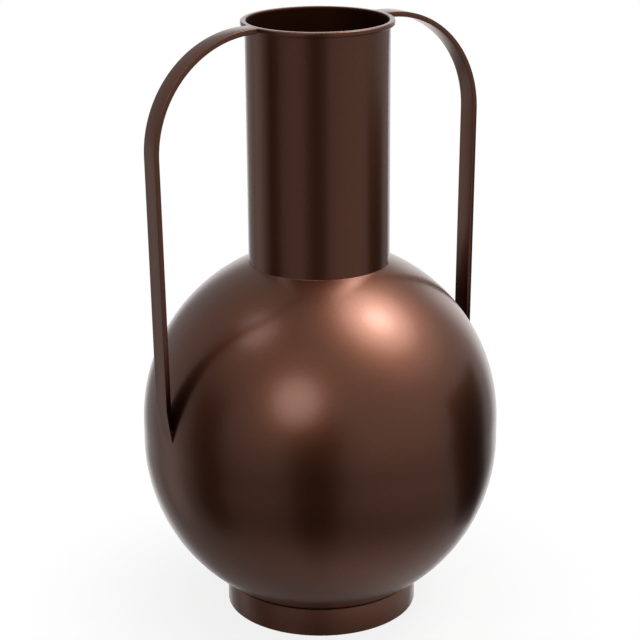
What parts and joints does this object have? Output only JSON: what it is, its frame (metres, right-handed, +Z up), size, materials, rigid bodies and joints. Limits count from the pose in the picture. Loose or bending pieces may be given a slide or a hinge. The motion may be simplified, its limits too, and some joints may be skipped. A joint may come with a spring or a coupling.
{
  "type": "urn vase",
  "caption": "Round-bodied metal urn vase with a straight tubular neck, a rolled rim, a low foot ring and tall flat-bar handles from rim to body; holds flowers or dry stems.",
  "frame": {"origin": "centre of the foot ring's underside, on the surface the vase stands on", "axes": "+Z up along the axis of the body and neck; X runs through the two handles"},
  "size_m": [0.22, 0.21, 0.3551],
  "materials": {
    "brown_lacquer": "satin metallic brown lacquer on iron sheet"
  },
  "bodies": {
    "root": {"lower_body": "brown_lacquer", "upper_body": "brown_lacquer", "neck_tube": "brown_lacquer", "foot_ring": "brown_lacquer", "left_handle": "brown_lacquer", "right_handle": "brown_lacquer"}
  },
  "joints": []
}
